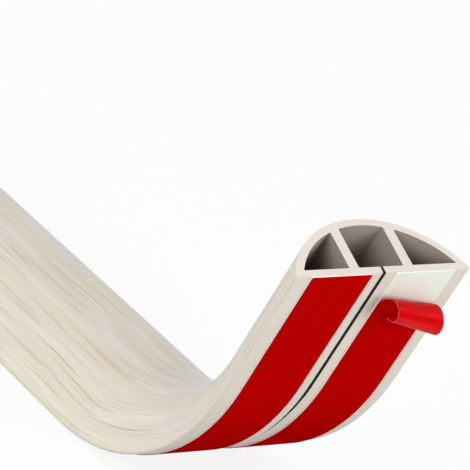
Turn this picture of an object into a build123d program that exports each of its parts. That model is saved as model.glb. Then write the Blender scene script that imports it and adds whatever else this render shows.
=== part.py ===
"""Floor cable cover: a flexible PVC strip with three cable channels and two self-adhesive tapes.

The strip lies along X with its tapes on the floor and curls up at its +X end, where one release
liner is peeled back. Millimetres, +Z up, origin on the floor under the middle of the whole strip.
"""

import os
from math import cos, radians, sin, sqrt

from build123d import *

# Strip
strip_length = 1000.0  # along the underside
cover_width = 70.0
crown_height = 23.5  # underside to the top of the dome
foot_land = 0.8  # upright edge where the dome meets the underside

# Walls of the section
dome_wall = 2.8
base_wall = 2.7
rib_thickness = 3.8
middle_channel_width = 18.0
channel_corner_radius = 0.6
slit_width = 1.0  # the base is slit under the middle channel, so that a cable can be pressed in

# Curl of the lifted end
bend_radius = 100.0  # at the underside
bend_angle = 67.0
lifted_run = 57.5  # straight part after the bend

# Adhesive tapes
tape_width = 24.0
tape_gap = 10.0  # bare underside between the tapes
tape_thickness = 0.4
tape_setback = 0.2  # from each end of the strip

# Release liners
liner_thickness = 0.2
bared_length = 19.5  # of the tape from which the right liner is peeled
curl_radius = 4.7  # of the peeled end, at the middle of the film
curl_turn = 285.0

# Run of the strip, seen from the side
bend_length = bend_radius * radians(bend_angle)
flat_run = strip_length - bend_length - lifted_run
bend_end = flat_run + bend_length
underside_height = tape_thickness + liner_thickness
tape_start = tape_setback
tape_end = strip_length - tape_setback
liner_depth = tape_thickness + liner_thickness / 2
peel_start = tape_end - bared_length


def run_to(distance, depth):
    """X from the flat end and Z of a point so far along the strip and so deep below its underside."""
    turned = radians(bend_angle) * min(max((distance - flat_run) / bend_length, 0.0), 1.0)
    straight_before = min(distance, flat_run)
    straight_after = max(distance - bend_end, 0.0)
    radius = bend_radius + depth
    x = straight_before + radius * sin(turned) + straight_after * cos(turned)
    z = underside_height + bend_radius - radius * cos(turned) + straight_after * sin(turned)
    return x, z


cover_reach = run_to(strip_length, 0.0)[0]
liner_reach = run_to(tape_end, underside_height)[0]
curl_reach = run_to(peel_start, liner_depth + curl_radius)[0] + curl_radius + liner_thickness / 2
flat_end_x = -max(cover_reach, liner_reach, curl_reach) / 2


def point(distance, depth):
    x, z = run_to(distance, depth)
    return Vector(flat_end_x + x, 0.0, z)


def strip_line(start, end, depth):
    """The line that a section follows, from one distance along the strip to another."""
    with BuildLine() as line:
        Line(point(start, depth), point(flat_run, depth))
        ThreePointArc(
            point(flat_run, depth),
            point(flat_run + bend_length / 2, depth),
            point(bend_end, depth),
        )
        Line(point(bend_end, depth), point(end, depth))
    return line.wire()


def section_plane(distance, depth):
    """Section across the flat run, with its own X along Y and its own Y along Z."""
    return Plane(origin=point(distance, depth), x_dir=(0, 1, 0), z_dir=(1, 0, 0))


# Dome of the section: an arc over the feet, with the channels' arc concentric inside it
half_width = cover_width / 2
dome_rise = crown_height - foot_land
dome_radius = (half_width**2 + dome_rise**2) / (2 * dome_rise)
dome_centre = crown_height - dome_radius
inner_radius = dome_radius - dome_wall
inner_half_width = sqrt(inner_radius**2 - (base_wall - dome_centre) ** 2)
rib_centre = (middle_channel_width + rib_thickness) / 2

# Cable cover: dome, base, two ribs and the slit in one extrusion
with BuildPart() as cable_cover:
    with BuildSketch(section_plane(0.0, 0.0)) as cover_section:
        with BuildLine():
            left_foot = Line((-half_width, 0), (-half_width, foot_land))
            right_foot = Line((half_width, foot_land), (half_width, 0))
            ThreePointArc(left_foot @ 1, (0, crown_height), right_foot @ 0)
            Line(right_foot @ 1, left_foot @ 0)
        make_face()
        with BuildSketch(mode=Mode.PRIVATE) as channels:
            with BuildLine():
                ceiling = ThreePointArc(
                    (-inner_half_width, base_wall),
                    (0, crown_height - dome_wall),
                    (inner_half_width, base_wall),
                )
                Line(ceiling @ 1, ceiling @ 0)
            make_face()
            with Locations((-rib_centre, 0), (rib_centre, 0)):
                Rectangle(rib_thickness, 3 * crown_height, mode=Mode.SUBTRACT)
            fillet(channels.vertices(), channel_corner_radius)
        add(channels.sketch, mode=Mode.SUBTRACT)
        with Locations((0, base_wall / 2)):
            Rectangle(slit_width, base_wall, mode=Mode.SUBTRACT)
    sweep(path=strip_line(0.0, strip_length, 0.0))
cable_cover.part.label = "cable_cover"

# Adhesive tapes, one on each side of the slit
tape_offset = (tape_gap + tape_width) / 2
tape_depth = tape_thickness / 2
tape_line = strip_line(tape_start, tape_end, tape_depth)

with BuildPart() as adhesive_tape_left:
    with BuildSketch(section_plane(tape_start, tape_depth)):
        with Locations((-tape_offset, 0)):
            Rectangle(tape_width, tape_thickness)
    sweep(path=tape_line)
adhesive_tape_left.part.label = "adhesive_tape_left"

with BuildPart() as adhesive_tape_right:
    with BuildSketch(section_plane(tape_start, tape_depth)):
        with Locations((tape_offset, 0)):
            Rectangle(tape_width, tape_thickness)
    sweep(path=tape_line)
adhesive_tape_right.part.label = "adhesive_tape_right"

# Release liners: the left one covers its tape, the right one is peeled back and curls away
with BuildPart() as release_liner_left:
    with BuildSketch(section_plane(tape_start, liner_depth)):
        with Locations((-tape_offset, 0)):
            Rectangle(tape_width, liner_thickness)
    sweep(path=strip_line(tape_start, tape_end, liner_depth))
release_liner_left.part.label = "release_liner_left"


def on_curl(turned):
    """Point on the peeled curl after a turn away from the tape."""
    along = Vector(cos(radians(bend_angle)), 0, sin(radians(bend_angle)))
    outward = Vector(sin(radians(bend_angle)), 0, -cos(radians(bend_angle)))
    angle = radians(turned)
    step = along * (curl_radius * sin(angle)) + outward * (curl_radius * (1 - cos(angle)))
    return point(peel_start, liner_depth) + step


with BuildPart() as release_liner_right:
    with BuildLine() as peeled_line:
        add(strip_line(tape_start, peel_start, liner_depth))
        ThreePointArc(on_curl(0.0), on_curl(curl_turn / 2), on_curl(curl_turn))
    with BuildSketch(section_plane(tape_start, liner_depth)):
        with Locations((tape_offset, 0)):
            Rectangle(tape_width, liner_thickness)
    sweep(path=peeled_line.wire())
release_liner_right.part.label = "release_liner_right"

os.makedirs("parts", exist_ok=True)
export_step(cable_cover.part, "parts/cable_cover.step")
export_step(adhesive_tape_left.part, "parts/adhesive_tape_left.step")
export_step(adhesive_tape_right.part, "parts/adhesive_tape_right.step")
export_step(release_liner_left.part, "parts/release_liner_left.step")
export_step(release_liner_right.part, "parts/release_liner_right.step")
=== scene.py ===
"""Floor cable cover: a wood-grain PVC strip with three channels, two tapes and two release liners.

Every piece is made laid flat first, with X across the strip, Y up from its underside and Z along it,
and one rule then curls its end up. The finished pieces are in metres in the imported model's frame:
X along the strip to its lifted end, Y across it and Z up from the floor.
"""

from math import asin, cos, radians, sin, sqrt

import bmesh
import bpy
from bpy.props import FloatProperty, FloatVectorProperty, PointerProperty
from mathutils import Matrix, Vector


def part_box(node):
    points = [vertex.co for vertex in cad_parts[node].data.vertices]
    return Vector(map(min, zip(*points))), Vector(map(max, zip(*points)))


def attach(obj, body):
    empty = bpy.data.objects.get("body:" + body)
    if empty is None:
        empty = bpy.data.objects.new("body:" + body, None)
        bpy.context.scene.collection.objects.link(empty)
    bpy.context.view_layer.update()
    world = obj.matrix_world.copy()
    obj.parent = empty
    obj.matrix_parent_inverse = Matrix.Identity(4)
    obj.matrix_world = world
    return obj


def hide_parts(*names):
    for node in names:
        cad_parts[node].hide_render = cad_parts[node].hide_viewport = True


bl_info = {
    "name": "Floor cable cover",
    "version": (1, 0, 0),
    "blender": (4, 5, 0),
    "location": "View3D > Sidebar > Cable cover",
    "description": "Makes a wood-grain floor cable cover with its adhesive tapes and release liners",
    "category": "Add Mesh",
}

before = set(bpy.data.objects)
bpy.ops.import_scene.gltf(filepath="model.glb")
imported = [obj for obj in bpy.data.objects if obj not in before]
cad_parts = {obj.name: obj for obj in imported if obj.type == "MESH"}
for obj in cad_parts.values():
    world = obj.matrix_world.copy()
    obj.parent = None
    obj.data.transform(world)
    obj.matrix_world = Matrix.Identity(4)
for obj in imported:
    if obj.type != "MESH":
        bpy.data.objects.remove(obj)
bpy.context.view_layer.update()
COVER_LOW, COVER_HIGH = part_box("cable_cover")

MM = 0.001
SMALL = 0.02 * MM  # nearer than this, two places are the same
WHITE = (1, 1, 1, 1)

# How finely the pieces are divided
STRIP_RINGS = 5 * MM  # from one section of the strip to the next
BAND_RINGS = 4 * MM  # the same along a tape or a flat film
DOME_STEPS, MIDDLE_STEPS, SIDE_STEPS = 72, 12, 18  # of the dome's arc and of the channels' ceilings
CORNER_STEPS = 4  # of a rounded corner
FILM_ACROSS, FILM_ALONG, ROLL_ALONG = 25, 240, 97  # points of the peeled film and along its roll
SHARP_TURN, SHARP_FILM_TURN = 30, 40  # degrees; an edge that turns further isn't shaded smoothly

# The stage, with a camera that is fitted to the photograph's edges
FLOOR_HALF = 4.0  # metres from the floor's middle to its sides
FLOOR_DROP = 0.05 * MM  # keeps the floor clear of the films that rest on it
FLOOR_WHITE = 0.86  # share of plain white in the floor that is seen; the rest takes the shadow
ROOM_LIGHT = 0.226  # the room's light on a surface, where 1 is white
LAMP_AIM = Vector((0.4, 0.0, 0.05))
LAMPS = (  # name, place, width in metres, watts
    ("key", (1.1, -1.9, 1.1), 1.4, 23.5),
    ("fill", (1.9, 0.5, 0.45), 1.0, 19.0),
    ("top", (-0.3, -0.6, 2.2), 1.6, 15.4),
    ("back", (0.0, 1.7, 1.0), 1.2, 4.3),
    ("left", (-1.4, -1.7, 0.5), 1.2, 9.6),
    ("low", (1.6, -1.2, 0.15), 1.0, 4.8),
)
CAMERA_PLACE = (1.2906, -0.6813, 0.5517)
CAMERA_TURN = (67.165, -12.436, 58.226)  # degrees
CAMERA_LENS, CAMERA_SENSOR = 269.71, 36.0  # millimetres


# Sizes and colours that a user may change


def linear(hex_colour):
    """An sRGB hex colour as linear red, green, blue and alpha."""
    channels = [int(hex_colour[i : i + 2], 16) / 255 for i in (1, 3, 5)]
    return [c / 12.92 if c <= 0.04045 else ((c + 0.055) / 1.055) ** 2.4 for c in channels] + [1.0]


def length(name, description, metres):
    """A length, shown in the scene's units."""
    return FloatProperty(
        name=name,
        description=description,
        default=metres,
        min=0.0,
        precision=5,
        unit="LENGTH",
        subtype="DISTANCE",
    )


def angle(name, description, degrees):
    """An angle, shown in degrees."""
    return FloatProperty(
        name=name, description=description, default=radians(degrees), unit="ROTATION", subtype="ANGLE"
    )


def colour(name, description, hex_colour):
    """A colour, kept as linear light."""
    return FloatVectorProperty(
        name=name,
        description=description,
        default=linear(hex_colour),
        size=4,
        min=0.0,
        max=1.0,
        subtype="COLOR",
    )


class CoverSizes(bpy.types.PropertyGroup):
    """Sizes of the extruded strip"""

    strip_length: length("Strip length", "Length of the strip along its underside", 1000 * MM)
    cover_width: length("Width", "Width across the two feet", COVER_HIGH.y - COVER_LOW.y)
    crown_height: length("Crown height", "Underside to the top of the dome", 23.5 * MM)
    foot_land: length("Foot land", "Upright edge where the dome meets the underside", 0.8 * MM)
    dome_wall: length("Dome wall", "Thickness of the dome over the channels", 2.8 * MM)
    base_wall: length("Base wall", "Thickness of the base under the channels", 2.7 * MM)
    rib_thickness: length("Rib thickness", "Thickness of the two ribs between the channels", 3.8 * MM)
    middle_channel: length("Middle channel", "Width of the middle channel", 18 * MM)
    channel_corner: length("Channel corner", "Rounding of the channels' corners", 0.6 * MM)
    edge_rounding: length("Edge rounding", "Rounding of the feet and of the slit's lips", 0.3 * MM)
    slit_width: length("Slit width", "Width of the slit at the lifted end", 1.15 * MM)
    closed_slit: length("Closed slit", "Width of the slit where it is shut", 0.1 * MM)
    slit_shut: length("Slit shut", "From the lifted end to where the slit is shut", 100 * MM)
    slit_open: length("Slit open", "From the lifted end to where the slit is fully open", 66 * MM)
    bend_radius: length("Bend radius", "Radius of the lifted end's bend, at the underside", 100 * MM)
    bend_angle: angle("Bend angle", "How far the lifted end turns up", 67)
    lifted_run: length("Lifted run", "Straight part after the bend", 57.5 * MM)


class TapeSizes(bpy.types.PropertyGroup):
    """Sizes of the adhesive tapes and of the film on them"""

    tape_width: length("Tape width", "Width of each tape", 24 * MM)
    tape_gap: length("Tape gap", "Bare underside between the two tapes", 10 * MM)
    tape_thickness: length("Tape thickness", "Thickness of the tape with its adhesive", 0.4 * MM)
    tape_setback: length("Tape setback", "Distance from each end of the strip to the tape", 0.2 * MM)
    liner_thickness: length("Liner thickness", "Thickness of the release film", 0.2 * MM)
    lift_inner: length("Lift, inner edge", "Strip's end to where the film lifts, inner edge", 16.5 * MM)
    lift_outer: length("Lift, outer edge", "Strip's end to where the film lifts, outer edge", 18.7 * MM)
    rise_inner: length("Rise radius, inner edge", "Radius of its first rise, inner edge", 9.9 * MM)
    rise_outer: length("Rise radius, outer edge", "Radius of its first rise, outer edge", 3.4 * MM)
    rise_turn: angle("Rise turn", "How far the film turns before it tightens into the roll", 64)
    roll_inner: length("Roll radius, inner edge", "Radius of the roll, inner edge", 3.7 * MM)
    roll_outer: length("Roll radius, outer edge", "Radius of the roll, outer edge", 5.3 * MM)
    turn_inner: angle("Turn, inner edge", "Whole turn of the film, inner edge", 275)
    turn_outer: angle("Turn, outer edge", "Whole turn of the film, outer edge", 238)
    turn_middle: angle("Turn, middle", "How much further the middle of the free edge turns", 28)
    # Painted glow: how far before and after the lift the film's red is brightened as painted light
    glow_length: length("Painted glow length", "Film before and after its lift in which its red lightens", 7 * MM)


class Finishes(bpy.types.PropertyGroup):
    """Colours of the materials"""

    print_cream: colour("Print, cream", "Ground of the wood-grain print", "#E3DAC8")
    print_grey: colour("Print, grey", "Cooler bands of the wood-grain print", "#DCD6CD")
    print_pale: colour("Print, pale", "Palest bands of the wood-grain print", "#EAE5DB")
    grain_ochre: colour("Grain, ochre", "Streaks of the wood-grain print", "#B89F72")
    grain_brown: colour("Grain, brown", "Fine lines of the wood-grain print", "#AC9D7B")
    grain_stain: colour("Grain, stain", "Faint stain beside the streaks", "#DCC38F")
    bare_pvc: colour("Bare PVC", "Underside of the strip", "#D8D3C7")
    cut_pvc: colour("Cut PVC", "Face where the strip was cut", "#DED6CC")
    # Painted shade: the channel walls are the same cream PVC, darkened here for the shade deep inside
    # them
    channel_painted_shade: colour("Channel walls, painted shade", "Inside of the cable channels", "#9C9087")
    slit_painted_shade: colour("Slit walls, painted shade", "Walls of the slit in the base", "#3C3B38")
    # Painted shade: near black, so that the narrow slit in the same PVC reads as a dark line
    carrier: colour("Carrier", "Edge of the tape's carrier", "#F6F4F0")
    # Painted light: a white tinted a little green to cancel the pink light that the red roll throws on
    # the adhesive
    adhesive: colour("Adhesive", "Bare adhesive on the tape", "#E4ECE1")
    film_back: colour("Film, back", "Side of the release film that faces away from the tape", "#B40202")
    film_lines: colour("Film, draw lines", "Faint lines along the back of the release film", "#AF0202")
    # Painted light: a brighter red for light through the film and against the shade under the roll
    film_painted_glow: colour("Film, painted glow", "Back of the release film where it is curled up", "#FF0808")
    film_face: colour("Film, release side", "Side of the release film that lay on the tape", "#C60409")
    # Painted highlights: on the release side, pale bands standing in for highlights along the roll; on
    # the cut edge, pale marks
    film_marks_and_highlights: colour("Film, bands and painted highlights", "Pale bands across the release side", "#D61920")
    film_edge: colour("Film, edge", "Cut edge of the release film", "#EA5A5E")
    floor: colour("Floor", "Plain floor under the strip", "#B4B4B2")


# Nodes


def add(tree, kind, feeds=(), **settings):
    """Add a node with its settings. A feed is a value, a node or one of a node's outputs.

    A kind is the name of the node's class, with or without what that starts with.
    """
    starts = ("ShaderNode", "GeometryNode", "Node", "")
    node = tree.nodes.new(next(start + kind for start in starts if hasattr(bpy.types, start + kind)))
    for setting, value in settings.items():
        setattr(node, setting, value)
    sockets = [socket for socket in node.inputs if socket.enabled]
    if isinstance(feeds, dict):
        pairs = [(next(s for s in sockets if s.name == name), feed) for name, feed in feeds.items()]
    else:
        pairs = zip(sockets, feeds)
    for socket, feed in pairs:
        if isinstance(feed, bpy.types.Node):
            feed = next(output for output in feed.outputs if output.enabled)
        if isinstance(feed, bpy.types.NodeSocket):
            tree.links.new(feed, socket)
        elif feed is not None:
            socket.default_value = feed
    return node


def inputs_of(kind, *names):
    """Inputs of one kind, for a new tree."""
    return dict.fromkeys(names, "NodeSocket" + kind)


def new_tree(name, inputs, kind="GeometryNodeTree", output="Geometry"):
    """A node tree with named inputs and one output, and the sockets that give its nodes the inputs."""
    tree = bpy.data.node_groups.new(name, kind)
    for label, socket_kind in inputs.items():
        tree.interface.new_socket(label, in_out="INPUT", socket_type=socket_kind)
    tree.interface.new_socket("Result", in_out="OUTPUT", socket_type="NodeSocket" + output)
    return tree, add(tree, "GroupInput").outputs


def shared_tree(name, make):
    """A tree by its name, made the first time that it is asked for."""
    return bpy.data.node_groups.get(name) or make(name)


# The rules that shape the pieces

BEND_INPUTS = inputs_of(
    "Float", "Flat end", "Flat run", "Bend radius", "Bend angle", "Underside height"
)


def curl_up_tree(name):
    """Keeps each point's place while laid flat, then bends the strip's end up from the floor."""
    tree, given = new_tree(name, {**inputs_of("Geometry", "Geometry"), **BEND_INPUTS})
    place = add(tree, "InputPosition")
    named = {"Geometry": given["Geometry"], "Name": "laid_flat", "Value": place}
    kept = add(tree, "StoreNamedAttribute", named, data_type="FLOAT_VECTOR")
    across, height, along = add(tree, "SeparateXYZ", [place]).outputs
    radius, flat_run, underside = given["Bend radius"], given["Flat run"], given["Underside height"]
    bend_length = add(tree, "Math", [radius, given["Bend angle"]], operation="MULTIPLY")
    bend_end = add(tree, "Math", [flat_run, bend_length], operation="ADD")
    turned = add(tree, "MapRange", [along, flat_run, bend_end, 0.0, given["Bend angle"]])

    # Each section turns about the bend's centre as if it stood at the bend's start, and one of the
    # flat run then goes back along the floor
    start_x = add(tree, "Math", [given["Flat end"], flat_run], operation="ADD")
    centre_z = add(tree, "Math", [underside, radius], operation="ADD")
    centre = add(tree, "CombineXYZ", [start_x, 0.0, centre_z])
    beyond = add(tree, "Math", [along, bend_end], operation="SUBTRACT")
    straight_after = add(tree, "Math", [beyond, 0.0], operation="MAXIMUM")
    x = add(tree, "Math", [start_x, straight_after], operation="ADD")
    z = add(tree, "Math", [underside, height], operation="ADD")
    upright = add(tree, "CombineXYZ", [x, across, z])
    turn = {"Vector": upright, "Center": centre, "Axis": (0, -1, 0), "Angle": turned}
    lifted = add(tree, "VectorRotate", turn, rotation_type="AXIS_ANGLE")
    short_of_bend = add(tree, "Math", [along, flat_run], operation="SUBTRACT")
    back = add(tree, "Math", [short_of_bend, 0.0], operation="MINIMUM")
    back_along = add(tree, "CombineXYZ", [back, 0.0, 0.0])
    placed = add(tree, "VectorMath", [lifted, back_along], operation="ADD")
    bent = add(tree, "SetPosition", {"Geometry": kept, "Position": placed})
    add(tree, "GroupOutput", [bent])
    return tree


def curled_up(tree, given, flat):
    """Pass a piece that is laid flat through the bend."""
    bend = {name: given[name] for name in BEND_INPUTS}
    group = shared_tree("Curl up the end", curl_up_tree)
    return add(tree, "GeometryNodeGroup", {"Geometry": flat, **bend}, node_tree=group)


def welded(tree, parts):
    """Join the parts of a piece and merge the points where they meet."""
    joined = add(tree, "JoinGeometry")
    for part in parts:
        tree.links.new(part.outputs[0], joined.inputs[0])
    return add(tree, "MergeByDistance", {"Geometry": joined, "Distance": SMALL / 2})


def draw_out_tree(name):
    """Draws a section out along the strip and closes its two ends."""
    sizes = inputs_of("Float", "Start", "End", "Ring spacing")
    tree, given = new_tree(name, {**inputs_of("Geometry", "Section"), **sizes})
    section = add(tree, "MeshToCurve", [given["Section"]])
    start = add(tree, "CombineXYZ", [0.0, 0.0, given["Start"]])
    end = add(tree, "CombineXYZ", [0.0, 0.0, given["End"]])
    line = add(tree, "CurvePrimitiveLine", [start, end])
    spacing = {"Curve": line, "Length": given["Ring spacing"]}
    rings = add(tree, "ResampleCurve", spacing, mode="LENGTH")
    walls = add(tree, "CurveToMesh", [rings, section])
    cut = add(tree, "FillCurve", [section], mode="NGONS")
    first = add(tree, "Transform", {"Geometry": cut, "Translation": start})
    last = add(tree, "Transform", {"Geometry": cut, "Translation": end})
    add(tree, "GroupOutput", [welded(tree, (walls, first, last))])
    return tree


def drawn_out(tree, given, start, end):
    """Draw a piece's section out between two places along the strip."""
    section = {name: given[name] for name in ("Section", "Ring spacing")}
    group = shared_tree("Draw out a section", draw_out_tree)
    return add(tree, "GeometryNodeGroup", {**section, "Start": start, "End": end}, node_tree=group)


def cover_tree():
    """The cover: its section drawn out, the slit shut but for the lifted end, and its five finishes."""
    sizes = inputs_of("Float", "Strip length", "Ring spacing", "Base wall", "Lip height")
    slit = inputs_of("Float", "Slit shut", "Slit open", "Slit width", "Closed slit")
    dome = inputs_of("Float", "Dome centre", "Dome radius", "Inner radius")
    finishes = inputs_of("Material", "Bare PVC", "Print", "Channel painted shade", "Slit painted shade", "Cut PVC")
    inputs = {**inputs_of("Geometry", "Section"), **sizes, **slit, **dome, **finishes, **BEND_INPUTS}
    tree, given = new_tree("Cable cover", inputs)
    strip = drawn_out(tree, given, 0.0, given["Strip length"])

    # Both lips of the slit move towards its middle, and no longer do so up the lifted end
    place = add(tree, "InputPosition")
    across, _, along = add(tree, "SeparateXYZ", [place]).outputs
    opening = [given["Slit shut"], given["Slit open"]]
    widths = [given["Closed slit"], given["Slit width"]]
    width = add(tree, "MapRange", [along, *opening, *widths])
    closing = add(tree, "Math", [width, given["Slit width"]], operation="SUBTRACT")
    side = add(tree, "Math", [across], operation="SIGN")
    move = add(tree, "Math", [closing, side], operation="MULTIPLY")
    half_move = add(tree, "Math", [move, 0.5], operation="MULTIPLY")
    offset = add(tree, "CombineXYZ", [half_move, 0.0, 0.0])
    distance = add(tree, "Math", [across], operation="ABSOLUTE")
    at_slit = add(tree, "Math", [distance, given["Slit width"]], operation="LESS_THAN")
    pressed = add(tree, "SetPosition", {"Geometry": strip, "Selection": at_slit, "Offset": offset})
    curled = curled_up(tree, given, pressed)

    # A face is told by its place while laid flat: first on the dome, or inside the channels under it,
    # whose grey is painted shade
    flat = add(tree, "InputNamedAttribute", ["laid_flat"], data_type="FLOAT_VECTOR")
    flat_across, flat_height, flat_along = add(tree, "SeparateXYZ", [flat]).outputs
    from_centre = add(tree, "Math", [flat_height, given["Dome centre"]], operation="SUBTRACT")
    spoke = add(tree, "CombineXYZ", [flat_across, from_centre, 0.0])
    radius = add(tree, "VectorMath", [spoke], operation="LENGTH").outputs["Value"]
    dome_edge = add(tree, "Math", [given["Dome radius"], 2 * SMALL], operation="SUBTRACT")
    on_dome = add(tree, "Math", [radius, dome_edge], operation="GREATER_THAN")
    channel_edge = add(tree, "Math", [given["Inner radius"], 2 * SMALL], operation="ADD")
    under_dome = add(tree, "Math", [radius, channel_edge], operation="LESS_THAN")
    channel_floor = add(tree, "Math", [given["Base wall"], 2 * SMALL], operation="SUBTRACT")
    over_base = add(tree, "Math", [flat_height, channel_floor], operation="GREATER_THAN")
    in_channel = add(tree, "Math", [under_dome, over_base], operation="MULTIPLY")

    # In the slit, whose near black is painted shade and takes in the rounded lips where it is open
    from_slit = add(tree, "Math", [flat_across], operation="ABSOLUTE")
    near_slit = add(tree, "Math", [from_slit, given["Slit width"]], operation="LESS_THAN")
    lip = add(tree, "MapRange", [flat_along, *opening, given["Lip height"], 2 * SMALL])
    off_floor = add(tree, "Math", [flat_height, lip], operation="GREATER_THAN")
    under_channel = add(tree, "Math", [flat_height, given["Base wall"]], operation="LESS_THAN")
    in_base = add(tree, "Math", [off_floor, under_channel], operation="MULTIPLY")
    in_slit = add(tree, "Math", [near_slit, in_base], operation="MULTIPLY")

    # And on the cut at either end
    half_length = add(tree, "Math", [given["Strip length"], 0.5], operation="MULTIPLY")
    from_middle = add(tree, "Math", [flat_along, half_length], operation="SUBTRACT")
    to_middle = add(tree, "Math", [from_middle], operation="ABSOLUTE")
    last_ring = add(tree, "Math", [half_length, SMALL], operation="SUBTRACT")
    at_cut = add(tree, "Math", [to_middle, last_ring], operation="GREATER_THAN")

    finished = add(tree, "RealizeInstances", [curled])
    for selection, finish in zip((True, on_dome, in_channel, in_slit, at_cut), finishes):
        finished = add(tree, "SetMaterial", [finished, selection, given[finish]])
    add(tree, "GroupOutput", [finished])
    return tree


def band_tree():
    """A tape or a film along the strip: one finish on the face that looks down, one on its edges."""
    sizes = inputs_of("Float", "Start", "End", "Ring spacing", "Face height")
    finishes = inputs_of("Material", "Edge", "Face")
    inputs = {**inputs_of("Geometry", "Section"), **sizes, **finishes, **BEND_INPUTS}
    tree, given = new_tree("Band under the strip", inputs)
    curled = curled_up(tree, given, drawn_out(tree, given, given["Start"], given["End"]))
    flat = add(tree, "InputNamedAttribute", ["laid_flat"], data_type="FLOAT_VECTOR")
    height = add(tree, "SeparateXYZ", [flat]).outputs["Y"]
    just_above = add(tree, "Math", [given["Face height"], SMALL], operation="ADD")
    on_face = add(tree, "Math", [height, just_above], operation="LESS_THAN")
    whole = add(tree, "RealizeInstances", [curled])
    edged = add(tree, "SetMaterial", [whole, True, given["Edge"]])
    faced = add(tree, "SetMaterial", [edged, on_face, given["Face"]])
    add(tree, "GroupOutput", [faced])
    return tree


def peeled_film_tree():
    """A film on its tape up to a slanting line, where it rises into a roll that widens outwards."""
    sizes = inputs_of("Float", "Inner edge", "Width", "Height", "Start", "Rise turn", "Turn middle")
    sides = ("inner", "outer")
    edges = [f"{size} {side}" for size in ("Lift", "Rise", "Roll", "Turn") for side in sides]
    inputs = {**sizes, **inputs_of("Float", *edges), **inputs_of("Material", "Film"), **BEND_INPUTS}
    tree, given = new_tree("Peeled film", inputs)
    place = add(tree, "InputPosition")
    centred = add(tree, "VectorMath", [place, (0.5, 0.5, 0.0)], operation="ADD")
    share_across, share_along, _ = add(tree, "SeparateXYZ", [centred]).outputs
    from_inner = [share_across, given["Width"], given["Inner edge"]]
    across = add(tree, "Math", from_inner, operation="MULTIPLY_ADD")

    # Lift, rise, roll and turn go evenly from the inner edge to the outer one
    lift, rise, roll, edge_turn = (
        add(tree, "Mix", [share_across, given[inner], given[outer]], data_type="FLOAT")
        for inner, outer in zip(edges[::2], edges[1::2])
    )

    # The part on the tape
    flat_along = add(tree, "Mix", [share_along, given["Start"], lift], data_type="FLOAT")
    flat_place = add(tree, "CombineXYZ", [across, given["Height"], flat_along])

    # The free part turns on the rise radius first, and on the roll radius for the rest. The middle of
    # the film turns furthest: four times a share times the rest of the whole is 1 there
    to_outer = add(tree, "Math", [1.0, share_across], operation="SUBTRACT")
    bulge = add(tree, "Math", [share_across, to_outer], operation="MULTIPLY")
    bulge_turn = add(tree, "Math", [given["Turn middle"], 4.0], operation="MULTIPLY")
    whole_turn = add(tree, "Math", [bulge, bulge_turn, edge_turn], operation="MULTIPLY_ADD")
    turned = add(tree, "Math", [whole_turn, share_along], operation="MULTIPLY")
    risen = add(tree, "Math", [turned, given["Rise turn"]], operation="MINIMUM")
    wider = add(tree, "Math", [rise, roll], operation="SUBTRACT")
    steps = []
    for function in ("SINE", "COSINE"):
        of_rise = add(tree, "Math", [risen], operation=function)
        of_roll = add(tree, "Math", [turned], operation=function)
        rise_step = add(tree, "Math", [of_rise, wider], operation="MULTIPLY")
        steps.append(add(tree, "Math", [of_roll, roll, rise_step], operation="MULTIPLY_ADD"))
    roll_along = add(tree, "Math", [lift, steps[0]], operation="ADD")
    from_tape = add(tree, "Math", [steps[1], rise], operation="SUBTRACT")
    roll_height = add(tree, "Math", [given["Height"], from_tape], operation="ADD")
    roll_place = add(tree, "CombineXYZ", [across, roll_height, roll_along])
    past_lift = [turned, given["Roll outer"], given["Lift outer"]]
    arc = add(tree, "Math", past_lift, operation="MULTIPLY_ADD")
    unrolled = add(tree, "CombineXYZ", [across, given["Height"], arc])

    # Both parts keep their place on the unrolled film, which its marks follow
    parts = []
    for rows, on_film, placed in (
        (FILM_ALONG, flat_place, flat_place),
        (ROLL_ALONG, unrolled, roll_place),
    ):
        grid = add(tree, "MeshGrid", [1.0, 1.0, FILM_ACROSS, rows])
        named = {"Geometry": grid, "Name": "unrolled", "Value": on_film}
        kept = add(tree, "StoreNamedAttribute", named, data_type="FLOAT_VECTOR")
        parts.append(add(tree, "SetPosition", {"Geometry": kept, "Position": placed}))
    curled = curled_up(tree, given, welded(tree, parts))
    on_film = add(tree, "InputNamedAttribute", ["unrolled"], data_type="FLOAT_VECTOR")
    named = {"Geometry": curled, "Name": "laid_flat", "Value": on_film}
    marked = add(tree, "StoreNamedAttribute", named, data_type="FLOAT_VECTOR")
    whole = add(tree, "RealizeInstances", [marked])
    finished = add(tree, "SetMaterial", [whole, True, given["Film"]])
    add(tree, "GroupOutput", [finished])
    return tree


# Steps that the operators share


def bend_values(cover, tape):
    """The bend's inputs for these sizes, by name."""
    return {
        "Flat end": COVER_LOW.x,
        "Flat run": cover.strip_length - cover.bend_radius * cover.bend_angle - cover.lifted_run,
        "Bend radius": cover.bend_radius,
        "Bend angle": cover.bend_angle,
        "Underside height": tape.tape_thickness + tape.liner_thickness,
    }


def keep_result(piece, modifier):
    """Keep what a modifier makes as the piece's plain mesh, and take the modifier off."""
    evaluated = piece.evaluated_get(bpy.context.evaluated_depsgraph_get())
    mesh = bpy.data.meshes.new_from_object(evaluated)
    piece.modifiers.remove(modifier)
    piece.data = mesh
    if not mesh.polygons:
        raise RuntimeError(f"{piece.name} came out empty")


def bake(name, data, tree, values):
    """A new piece: what a tree makes of its data, with the tree's inputs by name."""
    piece = bpy.data.objects.new(name, data)
    bpy.context.scene.collection.objects.link(piece)
    modifier = piece.modifiers.new("Shape", "NODES")
    modifier.node_group = tree
    for item in tree.interface.items_tree:
        if item.in_out == "INPUT" and item.name in values:
            modifier[item.identifier] = values[item.name]
    keep_result(piece, modifier)
    return piece


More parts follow.
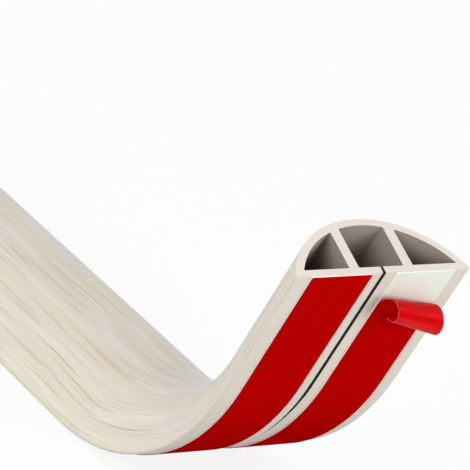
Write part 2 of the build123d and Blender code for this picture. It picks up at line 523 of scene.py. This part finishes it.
def face_outwards(mesh):
    """Turn every face of a closed mesh outwards."""
    shell = bmesh.new()
    shell.from_mesh(mesh)
    bmesh.ops.recalc_face_normals(shell, faces=shell.faces)
    shell.to_mesh(mesh)
    shell.free()


def round_off(mesh, degrees):
    """Shade smoothly across edges that turn less than this."""
    mesh.shade_smooth()
    mesh.set_sharp_from_angle(angle=radians(degrees))


def outline_mesh(name, outlines):
    """Closed outlines, each a list of places across and up, as edges."""
    points, edges = [], []
    for outline in outlines:
        first = len(points)
        points += [(across, up, 0.0) for across, up in outline]
        edges += [(first + i, first + (i + 1) % len(outline)) for i in range(len(outline))]
    mesh = bpy.data.meshes.new(name)
    mesh.from_pydata(points, edges, [])
    return mesh


def rounded(corners):
    """A closed outline from corners (across, up, how far from the corner its rounding starts)."""
    outline = []
    for before, corner, after in zip(corners[-1:] + corners[:-1], corners, corners[1:] + corners[:1]):
        tip, cut = Vector(corner[:2]), corner[2]
        if not cut:
            outline.append(tip)
            continue
        first = tip + (Vector(before[:2]) - tip).normalized() * cut
        last = tip + (Vector(after[:2]) - tip).normalized() * cut
        for step in range(CORNER_STEPS + 1):
            t = step / CORNER_STEPS
            outline.append(first * (1 - t) ** 2 + tip * (2 * t * (1 - t)) + last * t**2)
    return outline


def dome_arcs(cover):
    """The dome's radius, that of the channels' ceiling inside it, and how high their centre is."""
    half_width = cover.cover_width / 2
    rise = cover.crown_height - cover.foot_land
    dome_radius = (half_width**2 + rise**2) / (2 * rise)
    return dome_radius, dome_radius - cover.dome_wall, cover.crown_height - dome_radius


def cover_outlines(cover):
    """Outlines of the section: dome, base, slit and middle channel in one, and two side channels."""
    dome_radius, inner_radius, dome_centre = dome_arcs(cover)
    half_width = cover.cover_width / 2
    floor_up = cover.base_wall
    inner_half = sqrt(inner_radius**2 - (floor_up - dome_centre) ** 2)
    rib_inner = cover.middle_channel / 2
    rib_outer = rib_inner + cover.rib_thickness
    slit, corner, edge = cover.slit_width / 2, cover.channel_corner, cover.edge_rounding

    def arc(radius, start, end, count):
        """Places on a circle about the dome's centre, between two places across but at neither."""
        first, last = asin(start / radius), asin(end / radius)
        turns = [first + (last - first) * i / count for i in range(1, count)]
        return [(radius * sin(turn), dome_centre + radius * cos(turn), 0.0) for turn in turns]

    def ceiling(across):
        """How high the channels' ceiling is at a place across."""
        return dome_centre + sqrt(inner_radius**2 - across**2)

    dome_and_middle = [
        (-slit, 0.0, edge),
        (-half_width, 0.0, edge),
        (-half_width, cover.foot_land, 0.0),
        *arc(dome_radius, -half_width, half_width, DOME_STEPS),
        (half_width, cover.foot_land, 0.0),
        (half_width, 0.0, edge),
        (slit, 0.0, edge),
        (slit, floor_up, edge),
        (rib_inner, floor_up, corner),
        (rib_inner, ceiling(rib_inner), corner),
        *arc(inner_radius, rib_inner, -rib_inner, MIDDLE_STEPS),
        (-rib_inner, ceiling(rib_inner), corner),
        (-rib_inner, floor_up, corner),
        (-slit, floor_up, edge),
    ]
    outlines = [rounded(dome_and_middle)]
    for side in (-1, 1):
        channel = [
            (side * inner_half, floor_up, corner),
            (side * rib_outer, floor_up, corner),
            (side * rib_outer, ceiling(rib_outer), corner),
            *arc(inner_radius, side * rib_outer, side * inner_half, SIDE_STEPS),
        ]
        outlines.append(rounded(channel))
    return outlines


def stand_in(piece, node):
    """The piece is attached to the root body and shows in place of a CAD node, which is hidden."""
    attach(piece, "root")
    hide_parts(node)


# Materials


def new_material(name):
    """A material with an empty node tree."""
    material = bpy.data.materials.new(name)
    material.use_nodes = True
    material.node_tree.nodes.clear()
    return material, material.node_tree


def laid_flat_mm(tree):
    """Where a point of the surface was while laid flat, in millimetres."""
    place = add(tree, "Attribute", attribute_name="laid_flat").outputs["Vector"]
    return add(tree, "VectorMath", {"Vector": place, "Scale": 1 / MM}, operation="SCALE")


def streak_tree(name):
    """Tapered streaks along the grain, one in each cell of a jittered grid, none quite alike."""
    inputs = inputs_of("Vector", "Place", "Spacing", "Shift")
    inputs.update(inputs_of("Float", "Half width", "Slant"))
    tree, given = new_tree(name, inputs, "ShaderNodeTree", "Float")
    cells = add(tree, "VectorMath", [given["Place"], given["Spacing"]], operation="DIVIDE")
    shifted = add(tree, "VectorMath", [cells, given["Shift"]], operation="ADD")
    grid = {"Vector": shifted, "Scale": 1.0}
    middles = add(tree, "TexVoronoi", grid, voronoi_dimensions="2D").outputs
    step = add(tree, "VectorMath", [shifted, middles["Position"]], operation="SUBTRACT")
    from_middle = add(tree, "VectorMath", [step, given["Spacing"]], operation="MULTIPLY")
    sideways, lengthways, _ = add(tree, "SeparateXYZ", [from_middle]).outputs
    chances = add(tree, "SeparateColor", [middles["Color"]]).outputs
    chance_long, chance_slant, chance_wide = chances

    # Chance gives a streak a half length of 0.2 to 0.5 of its cell, over which it tapers and fades
    room = add(tree, "SeparateXYZ", [given["Spacing"]]).outputs["Y"]
    share = add(tree, "MapRange", [chance_long, 0.0, 1.0, 0.2, 0.5])
    half_length = add(tree, "Math", [room, share], operation="MULTIPLY")
    reach = add(tree, "Math", [lengthways, half_length], operation="DIVIDE")
    reach_squared = add(tree, "Math", [reach, reach], operation="MULTIPLY")
    taper = add(tree, "Math", [1.0, reach_squared], operation="SUBTRACT", use_clamp=True)
    fade = add(tree, "MapRange", [reach, -1.0, 1.0, 0.4, 1.0])

    # It leans to either side, is 0.6 to 1.2 of the width that is asked for, and the thin ones are faint
    lean = add(tree, "MapRange", [chance_slant, 0.0, 1.0, -1.0, 1.0])
    slope = add(tree, "Math", [lean, given["Slant"]], operation="MULTIPLY")
    leant = add(tree, "Math", [lengthways, slope, sideways], operation="MULTIPLY_ADD")
    distance = add(tree, "Math", [leant], operation="ABSOLUTE")
    spread = add(tree, "MapRange", [chance_wide, 0.0, 1.0, 0.6, 1.2])
    width = add(tree, "Math", [given["Half width"], spread], operation="MULTIPLY")
    tapered = add(tree, "Math", [width, taper], operation="MULTIPLY")
    inwards = [distance, tapered, 0.0, 0.0, 1.0]
    line = add(tree, "MapRange", inwards, interpolation_type="SMOOTHSTEP")
    faint = add(tree, "MapRange", [chance_wide, 0.0, 1.0, 0.35, 1.0])
    faded = add(tree, "Math", [line, fade], operation="MULTIPLY")
    streak = add(tree, "Math", [faded, faint], operation="MULTIPLY")
    add(tree, "GroupOutput", [streak])
    return tree


def printed_film(finishes, dome_centre, dome_radius):
    """Wood-grain film, printed, embossed and laminated on: a pale satin ground with ochre streaks."""
    material, tree = new_material("Wood-grain printed PVC film")
    across, height, along = add(tree, "SeparateXYZ", [laid_flat_mm(tree)]).outputs

    # The print is rolled out over the dome: X round it, Y along the strip
    from_centre = add(tree, "Math", [height, dome_centre / MM], operation="SUBTRACT")
    round_dome = add(tree, "Math", [across, from_centre], operation="ARCTAN2")
    girth = add(tree, "Math", [round_dome, dome_radius / MM], operation="MULTIPLY")
    straight = add(tree, "CombineXYZ", [girth, along, 0.0])

    # The grain sways to either side, in waves 30 mm and 5 mm wide
    sways = []
    for width, run, reach in ((30.0, 90.0, 2.0), (5.0, 17.0, 0.6)):
        drawn = add(tree, "VectorMath", [straight, (1 / width, 1 / run, 0)], operation="MULTIPLY")
        waves = {"Vector": drawn, "Scale": 1.0, "Detail": 1.0}
        wave = add(tree, "TexNoise", waves, noise_dimensions="2D")
        sways.append(add(tree, "MapRange", [wave, 0.0, 1.0, -reach, reach]))
    sway = add(tree, "Math", sways, operation="ADD")
    swayed = add(tree, "CombineXYZ", [sway, 0.0, 0.0])
    place = add(tree, "VectorMath", [straight, swayed], operation="ADD")

    # Bands 18 mm and 5 mm wide, and fibres, all drawn out along the grain. Printed fibres are finer
    # than the picture can show, so they are drawn 0.7 mm wide
    layers = []
    for width, run, detail in ((18.0, 160.0, 2.0), (5.0, 70.0, 2.0), (0.7, 14.0, 3.0)):
        drawn = add(tree, "VectorMath", [place, (1 / width, 1 / run, 0)], operation="MULTIPLY")
        patches = {"Vector": drawn, "Scale": 1.0, "Detail": detail}
        layers.append(add(tree, "TexNoise", patches, noise_dimensions="2D"))
    broad, narrow, fibre = layers
    colour_now = finishes.print_cream
    for layer, start, end, most, paint in (
        (broad, 0.35, 0.7, 0.8, finishes.print_grey),
        (narrow, 0.42, 0.72, 0.6, finishes.print_pale),
    ):
        band = [layer, start, end, 0.0, most]
        share = add(tree, "MapRange", band, interpolation_type="SMOOTHSTEP")
        colour_now = add(tree, "Mix", [share, colour_now, paint], data_type="RGBA")
    share = add(tree, "MapRange", [fibre, 0.45, 0.75, 0.0, 0.07])
    colour_now = add(tree, "Mix", [share, colour_now, finishes.grain_brown], data_type="RGBA")

    # Streaks: spacing across and along, half width, slant, strength, colour, and the strength of the
    # wider stain beside them. The finest keep to the bands
    fine = add(tree, "MapRange", [broad, 0.4, 0.6, 0.5, 0.1])
    streaks = (
        ((4.8, 75.0, 1.0), 0.36, 0.03, 0.95, finishes.grain_ochre, 0.24),
        ((4.0, 50.0, 1.0), 0.34, 0.03, 0.85, finishes.grain_brown, 0.24),
        ((2.4, 80.0, 1.0), 0.30, 0.015, fine, finishes.grain_brown, 0.0),
    )
    stain_width = 4  # times the streak's own
    shift = Vector((17.3, 5.1, 0.0))  # in cells, so that no two kinds of streak fall together
    group = shared_tree("Grain streaks", streak_tree)
    emboss = fibre
    for number, (spacing, half_width, slant, strength, tint, stain) in enumerate(streaks):
        shape = {"Place": place, "Spacing": spacing, "Slant": slant, "Shift": shift * number}
        for width, most, paint in (
            (stain_width * half_width, stain, finishes.grain_stain),
            (half_width, strength, tint),
        ):
            layer = add(tree, "ShaderNodeGroup", {**shape, "Half width": width}, node_tree=group)
            share = add(tree, "Math", [layer, most], operation="MULTIPLY")
            colour_now = add(tree, "Mix", [share, colour_now, paint], data_type="RGBA")
        emboss = add(tree, "Math", [emboss, share], operation="SUBTRACT")

    # The sheen is the cool haze of a satin film seen at a low angle
    bump = add(tree, "Bump", {"Strength": 0.25, "Distance": 0.06 * MM, "Height": emboss})
    roughness = add(tree, "MapRange", [fibre, 0.3, 0.7, 0.5, 0.62])
    look = {
        "Base Color": colour_now,
        "Roughness": roughness,
        "Normal": bump,
        "IOR": 1.53,
        "Specular IOR Level": 0.3,
        "Sheen Weight": 0.4,
        "Sheen Roughness": 0.3,
        "Sheen Tint": (0.75, 0.86, 1.0, 1.0),
    }
    surface = add(tree, "BsdfPrincipled", look)
    add(tree, "OutputMaterial", [surface])
    return material


def pvc(name, tint, line, run, roughness):
    """Flexible PVC or the like: faintly cloudy and satin, with lines left by the die or the blade.

    Real lines are finer than the picture can show, so they are drawn coarser: line wide and run long,
    in millimetres.
    """
    material, tree = new_material(name)
    place = laid_flat_mm(tree)
    noises = []
    for sizes, detail in (((9.0, 9.0, 30.0), 3.0), ((line, line, run), 2.0)):
        scale = [1 / size for size in sizes]
        scaled = add(tree, "VectorMath", [place, scale], operation="MULTIPLY")
        patches = {"Vector": scaled, "Scale": 1.0, "Detail": detail}
        noises.append(add(tree, "TexNoise", patches))
    lines = noises[1]
    marks = add(tree, "Math", noises, operation="ADD")
    deeper = [0.94 * channel for channel in tint[:3]] + [1.0]  # a shade under the plain colour
    share = add(tree, "MapRange", [marks, 0.75, 1.25, 0.0, 1.0])
    tinted = add(tree, "Mix", [share, tint, deeper], data_type="RGBA")
    bump = add(tree, "Bump", {"Strength": 0.3, "Distance": 0.05 * MM, "Height": lines})
    rough = add(tree, "MapRange", [lines, 0.3, 0.7, roughness - 0.05, roughness + 0.07])
    look = {"Base Color": tinted, "Roughness": rough, "Normal": bump}
    surface = add(tree, "BsdfPrincipled", {**look, "IOR": 1.53, "Specular IOR Level": 0.25})
    add(tree, "OutputMaterial", [surface])
    return material


def release_film(name, tint, marks, wave, roughness, gloss, painted_glow=None):
    """Polyethylene release film, dyed and drawn out: an even red with faint marks.

    A wave is the marks' size across and along, in millimetres. A painted glow is a brighter red painted
    on as light, for light through the film and against the shade under the roll, and where along the
    strip the film starts to take it and has it fully.
    """
    material, tree = new_material(name)
    place = laid_flat_mm(tree)
    scale = (1 / wave[0], 1, 1 / wave[1])
    scaled = add(tree, "VectorMath", [place, scale], operation="MULTIPLY")
    waves = add(tree, "TexNoise", {"Vector": scaled, "Scale": 1.0, "Detail": 1.0})
    share = add(tree, "MapRange", [waves, 0.45, 0.7, 0.0, 1.0], interpolation_type="SMOOTHSTEP")
    tinted = add(tree, "Mix", [share, tint, marks], data_type="RGBA")
    # Painted glow: the red brightens around the lift and over the roll, standing in for light
    if painted_glow:
        lighter, start, end = painted_glow
        along = add(tree, "SeparateXYZ", [place]).outputs["Z"]
        lift = [along, start / MM, end / MM, 0.0, 1.0]
        reached = add(tree, "MapRange", lift, interpolation_type="SMOOTHSTEP")
        tinted = add(tree, "Mix", [reached, tinted, lighter], data_type="RGBA")
    bump = add(tree, "Bump", {"Strength": 0.15, "Distance": 0.1 * MM, "Height": waves})
    rough = add(tree, "MapRange", [waves, 0.3, 0.7, roughness - 0.05, roughness + 0.05])
    look = {"Base Color": tinted, "Roughness": rough, "Normal": bump}
    surface = add(tree, "BsdfPrincipled", {**look, "IOR": 1.51, "Specular IOR Level": gloss})
    add(tree, "OutputMaterial", [surface])
    return material


def seen_rays(tree):
    """1 for a ray seen straight, mirrored or through a film, and 0 for one that lights a surface."""
    rays = add(tree, "LightPath").outputs
    straight, mirrored = rays["Is Camera Ray"], rays["Is Glossy Ray"]
    seen = add(tree, "Math", [straight, mirrored], operation="MAXIMUM")
    return add(tree, "Math", [seen, rays["Is Transmission Ray"]], operation="MAXIMUM")


# Operators


class CABLE_COVER_OT_strip(bpy.types.Operator):
    """Make the extruded strip with its dome, base, ribs, channels and slit"""

    bl_idname = "cable_cover.strip"
    bl_label = "Cover strip"

    def execute(self, context):
        cover, tape = context.scene.cover_sizes, context.scene.tape_sizes
        finishes = context.scene.cover_finishes
        dome_radius, inner_radius, dome_centre = dome_arcs(cover)

        # Underneath a smooth cream, on the cut a plain paler face, in the channels a warm grey that is
        # painted shade for their depth, and in the slit a near black that is painted shade, so that it
        # reads as a line
        bare = pvc("Flexible PVC, extruded", finishes.bare_pvc, line=0.7, run=60.0, roughness=0.5)
        cut = pvc("Flexible PVC, cut", finishes.cut_pvc, line=0.5, run=60.0, roughness=0.6)
        inside = "Flexible PVC, painted shade in the channels"
        channel = pvc(inside, finishes.channel_painted_shade, line=1.0, run=60.0, roughness=0.6)
        slit = pvc("Flexible PVC, slit walls in painted shade", finishes.slit_painted_shade, line=1.0, run=60.0, roughness=0.7)
        values = {
            "Strip length": cover.strip_length,
            "Ring spacing": STRIP_RINGS,
            "Slit shut": cover.strip_length - cover.slit_shut,
            "Slit open": cover.strip_length - cover.slit_open,
            "Slit width": cover.slit_width,
            "Closed slit": cover.closed_slit,
            "Lip height": cover.edge_rounding,
            "Base wall": cover.base_wall,
            "Dome centre": dome_centre,
            "Dome radius": dome_radius,
            "Inner radius": inner_radius,
            "Bare PVC": bare,
            "Print": printed_film(finishes, dome_centre, dome_radius),
            "Channel painted shade": channel,
            "Slit painted shade": slit,
            "Cut PVC": cut,
            **bend_values(cover, tape),
        }
        section = outline_mesh("cover_section", cover_outlines(cover))
        piece = bake("cover_strip", section, cover_tree(), values)
        face_outwards(piece.data)
        round_off(piece.data, SHARP_TURN)
        stand_in(piece, "cable_cover")
        return {"FINISHED"}


class CABLE_COVER_OT_tapes(bpy.types.Operator):
    """Make the two double-sided tapes and the film that still covers the left one"""

    bl_idname = "cable_cover.tapes"
    bl_label = "Tapes and flat liner"

    def execute(self, context):
        cover, tape = context.scene.cover_sizes, context.scene.tape_sizes
        finishes = context.scene.cover_finishes

        # The carrier shows as a white line beside the tape, the bare adhesive is a white with a slight
        # shine, tinted a little green as a painted correction for the pink light that the red roll
        # throws on it, and the film's back a deep red with none
        carrier = pvc("Tape carrier, slit edge", finishes.carrier, line=0.6, run=2.0, roughness=0.7)
        adhesive = pvc("Acrylic adhesive, bare", finishes.adhesive, line=2.5, run=25.0, roughness=0.35)
        deep = ("Red release film", finishes.film_back, finishes.film_lines)
        film = release_film(*deep, wave=(1.5, 60.0), roughness=0.5, gloss=0.0)
        tree = band_tree()
        inner = tape.tape_gap / 2
        outer = inner + tape.tape_width
        tape_low = -tape.tape_thickness
        film_low = tape_low - tape.liner_thickness

        # Top, bottom, and the finishes of edge and face
        taped = (0.0, tape_low, carrier, adhesive)
        covered = (tape_low, film_low, film, film)
        bands = (
            ("tape_strip_left", "adhesive_tape_left", "adhesive_tape", -1, *taped),
            ("tape_strip_right", "adhesive_tape_right", "adhesive_tape", 1, *taped),
            ("liner_film_left", "release_liner_left", "release_liner", -1, *covered),
        )
        for name, node, slot, side, top, bottom, edge, face in bands:
            near, far = side * inner, side * outer
            corners = [(near, top), (far, top), (far, bottom), (near, bottom)]
            values = {
                "Start": tape.tape_setback,
                "End": cover.strip_length - tape.tape_setback,
                "Ring spacing": BAND_RINGS,
                "Face height": bottom,
                "Edge": edge,
                "Face": face,
                **bend_values(cover, tape),
            }
            piece = bake(name, outline_mesh(name + "_section", [corners]), tree, values)
            face_outwards(piece.data)
            round_off(piece.data, SHARP_TURN)
            stand_in(piece, node)
        return {"FINISHED"}


class CABLE_COVER_OT_peeled_liner(bpy.types.Operator):
    """Make the right film, peeled back from its tape and rolled up at the lifted end"""

    bl_idname = "cable_cover.peeled_liner"
    bl_label = "Peeled liner"

    def execute(self, context):
        cover, tape = context.scene.cover_sizes, context.scene.tape_sizes
        finishes = context.scene.cover_finishes
        lift = cover.strip_length - tape.lift_outer

        # The back is the same deep red, with a painted glow: a brighter red from just before the lift
        # onto the roll, for light through the film and against the roll's shade. The release side is a
        # smoother, brighter red with pale bands across that are painted highlights, and the cut edge a
        # pale line
        deep = ("Red release film, peeled", finishes.film_back, finishes.film_lines)
        smooth = ("Red release film, silicone side", finishes.film_face, finishes.film_marks_and_highlights)
        pale = ("Red release film, cut edge", finishes.film_edge, finishes.film_marks_and_highlights)
        painted_glow = (finishes.film_painted_glow, lift - tape.glow_length, lift + tape.glow_length)
        back = release_film(*deep, wave=(1.5, 60.0), roughness=0.5, gloss=0.0, painted_glow=painted_glow)
        face = release_film(*smooth, wave=(60.0, 2.6), roughness=0.28, gloss=0.01)
        edge = release_film(*pale, wave=(4.0, 4.0), roughness=0.4, gloss=0.1)
        values = {
            "Inner edge": tape.tape_gap / 2,
            "Width": tape.tape_width,
            "Height": -tape.tape_thickness,
            "Start": tape.tape_setback,
            "Lift inner": cover.strip_length - tape.lift_inner,
            "Lift outer": lift,
            "Rise inner": tape.rise_inner,
            "Rise outer": tape.rise_outer,
            "Rise turn": tape.rise_turn,
            "Roll inner": tape.roll_inner,
            "Roll outer": tape.roll_outer,
            "Turn inner": tape.turn_inner,
            "Turn outer": tape.turn_outer,
            "Turn middle": tape.turn_middle,
            "Film": back,
            **bend_values(cover, tape),
        }
        piece = bake("liner_film_right", bpy.data.meshes.new("peeled_film"), peeled_film_tree(), values)
        piece.data.materials.append(face)
        piece.data.materials.append(edge)
        thicken = piece.modifiers.new("Film thickness", "SOLIDIFY")
        thicken.thickness = tape.liner_thickness
        thicken.offset = 1.0
        thicken.material_offset = 1
        thicken.material_offset_rim = 2
        keep_result(piece, thicken)
        round_off(piece.data, SHARP_FILM_TURN)
        stand_in(piece, "release_liner_right")
        return {"FINISHED"}


class CABLE_COVER_OT_stage(bpy.types.Operator):
    """Set out the floor, the soft light and the camera"""

    bl_idname = "cable_cover.stage"
    bl_label = "Stage"

    def execute(self, context):
        scene = context.scene
        scene.view_settings.view_transform = "Standard"

        # Matt paint that lights the strip as a grey floor does, and is seen as near white with a shadow
        mesh = bpy.data.meshes.new("floor")
        half = FLOOR_HALF
        corners = ((-half, -half), (half, -half), (half, half), (-half, half))
        mesh.from_pydata([(x, y, -FLOOR_DROP) for x, y in corners], [], [(0, 1, 2, 3)])
        floor = bpy.data.objects.new("floor", mesh)
        scene.collection.objects.link(floor)
        material, tree = new_material("Pale studio floor")
        seen = seen_rays(tree)
        tint = add(tree, "Mix", [seen, scene.cover_finishes.floor, WHITE], data_type="RGBA")
        matt = add(tree, "BsdfDiffuse", {"Color": tint})
        share = add(tree, "Math", [seen, FLOOR_WHITE], operation="MULTIPLY")
        white = add(tree, "Emission", {"Color": WHITE, "Strength": 1.0})
        mixed = add(tree, "MixShader", [share, matt, white])
        add(tree, "OutputMaterial", [mixed])
        mesh.materials.append(material)

        # A room that lights the strip evenly, and is white where it is seen
        world = bpy.data.worlds.new("Soft white room")
        world.use_nodes = True
        tree = world.node_tree
        tree.nodes.clear()
        level = add(tree, "MapRange", [seen_rays(tree), 0.0, 1.0, ROOM_LIGHT, 1.0])
        sky = add(tree, "Background", {"Color": WHITE, "Strength": level})
        add(tree, "OutputWorld", [sky])
        scene.world = world

        for name, place, size, power in LAMPS:
            light = bpy.data.lights.new(name, "AREA")
            light.shape = "DISK"
            light.size = size
            light.energy = power
            lamp = bpy.data.objects.new(name, light)
            lamp.location = place
            lamp.rotation_euler = (LAMP_AIM - Vector(place)).to_track_quat("-Z", "Y").to_euler()
            scene.collection.objects.link(lamp)

        view = bpy.data.cameras.new("view")
        view.lens = CAMERA_LENS
        view.sensor_width = CAMERA_SENSOR
        camera = bpy.data.objects.new("view", view)
        camera.location = CAMERA_PLACE
        camera.rotation_euler = [radians(turn) for turn in CAMERA_TURN]
        scene.collection.objects.link(camera)
        scene.camera = camera
        return {"FINISHED"}


class CABLE_COVER_PT_panel(bpy.types.Panel):
    """Sizes, colours and steps of the cable cover"""

    bl_label = "Cable cover"
    bl_idname = "CABLE_COVER_PT_panel"
    bl_space_type = "VIEW_3D"
    bl_region_type = "UI"
    bl_category = "Cable cover"

    def draw(self, context):
        for group in GROUPS:
            column = self.layout.column(align=True)
            for name in GROUPS[group].__annotations__:
                column.prop(getattr(context.scene, group), name)
        for operator in OPERATORS:
            self.layout.operator(operator.bl_idname)


GROUPS = {"cover_sizes": CoverSizes, "tape_sizes": TapeSizes, "cover_finishes": Finishes}
OPERATORS = (
    CABLE_COVER_OT_strip,
    CABLE_COVER_OT_tapes,
    CABLE_COVER_OT_peeled_liner,
    CABLE_COVER_OT_stage,
)
CLASSES = (*GROUPS.values(), *OPERATORS, CABLE_COVER_PT_panel)


def register():
    for kind in CLASSES:
        bpy.utils.register_class(kind)
    for name, kind in GROUPS.items():
        setattr(bpy.types.Scene, name, PointerProperty(type=kind))


def unregister():
    for name in GROUPS:
        delattr(bpy.types.Scene, name)
    for kind in reversed(CLASSES):
        bpy.utils.unregister_class(kind)


def main():
    register()
    bpy.ops.cable_cover.strip()
    bpy.ops.cable_cover.tapes()
    bpy.ops.cable_cover.peeled_liner()
    bpy.ops.cable_cover.stage()
    bpy.context.view_layer.update()


if __name__ == "__main__":
    main()
